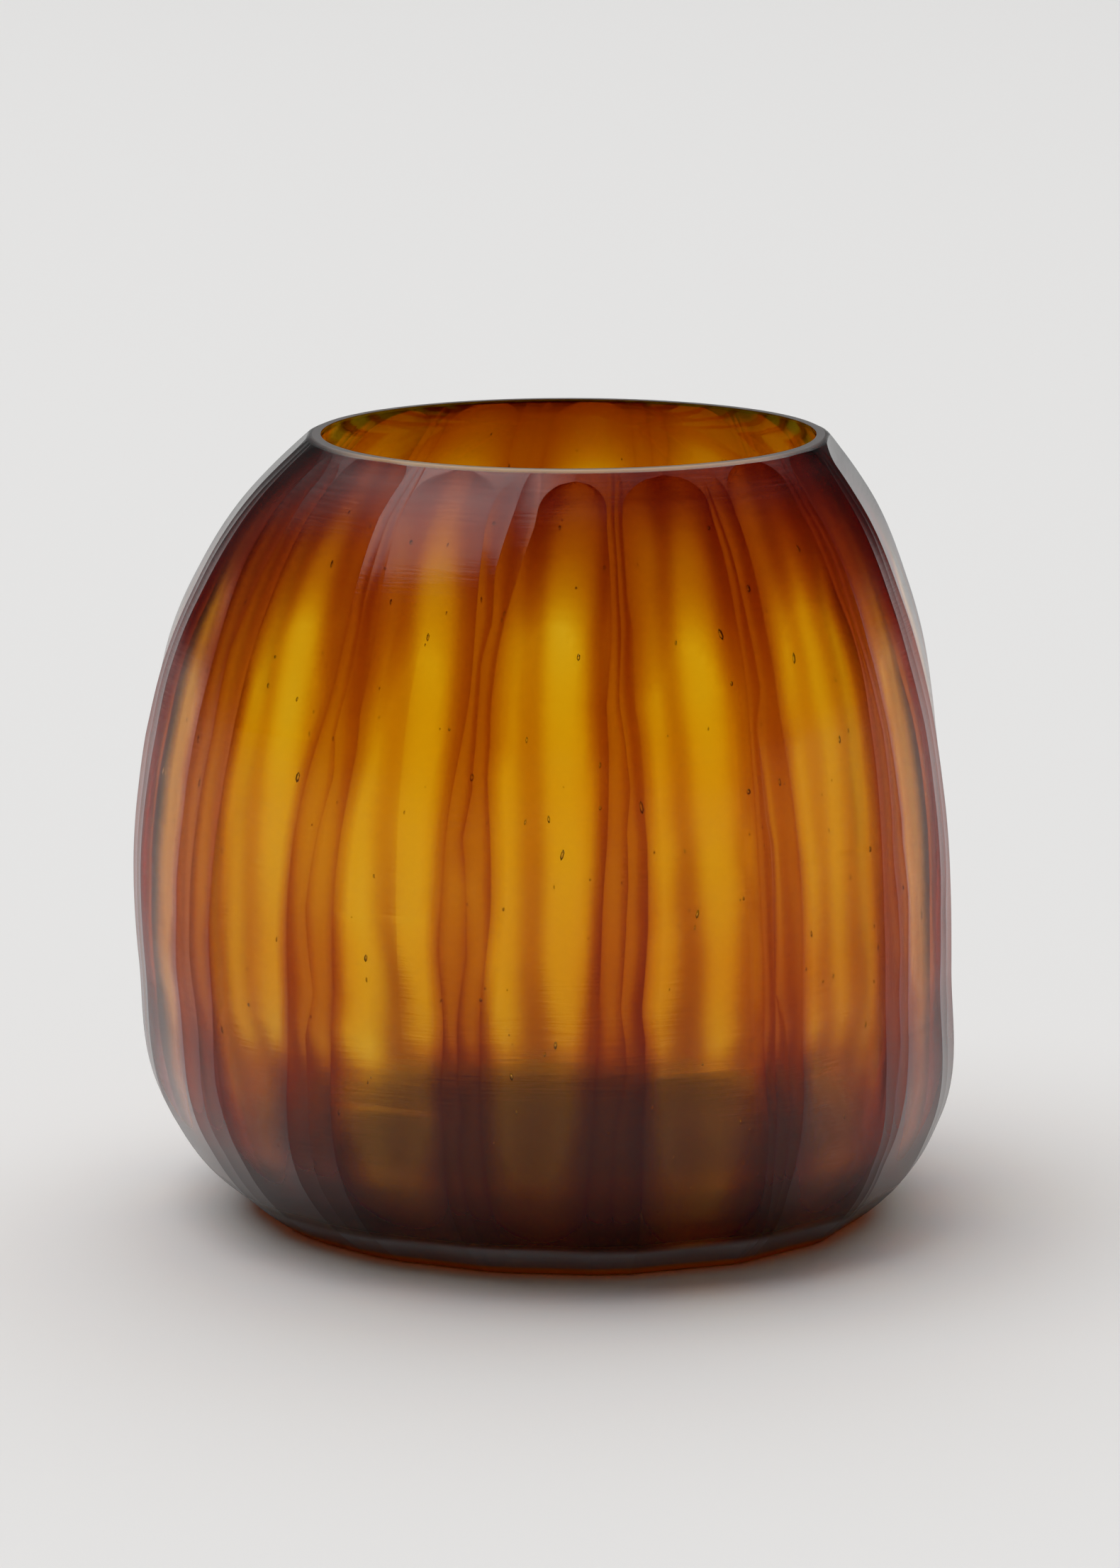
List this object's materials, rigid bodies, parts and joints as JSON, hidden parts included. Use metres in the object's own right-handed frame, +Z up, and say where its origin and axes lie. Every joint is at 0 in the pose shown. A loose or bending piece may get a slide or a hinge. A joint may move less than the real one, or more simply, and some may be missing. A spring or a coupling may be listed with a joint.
{
  "type": "cut glass vase",
  "caption": "Wide rounded vase in cased glass: thick amber vessel with floor, brown overlay cut into tall flutes, ground rim and base.",
  "frame": {"origin": "on the plane of the ground base, below the middle of the belly's width and depth", "axes": "+Z up through the mouth, -Y is the side seen in the picture, +X is to its right"},
  "size_m": [0.2806, 0.2787, 0.266],
  "materials": {
    "amber_glass": "clear honey amber glass with a few seed bubbles, polished inside, satin where the flutes cut it",
    "brown_glass": "transparent reddish brown glass, hand cut outside in wide flutes and narrow facets, then polished to a satin"
  },
  "bodies": {
    "root": {"amber_inner_vessel": "amber_glass", "brown_overlay_shell": "brown_glass"}
  },
  "joints": []
}
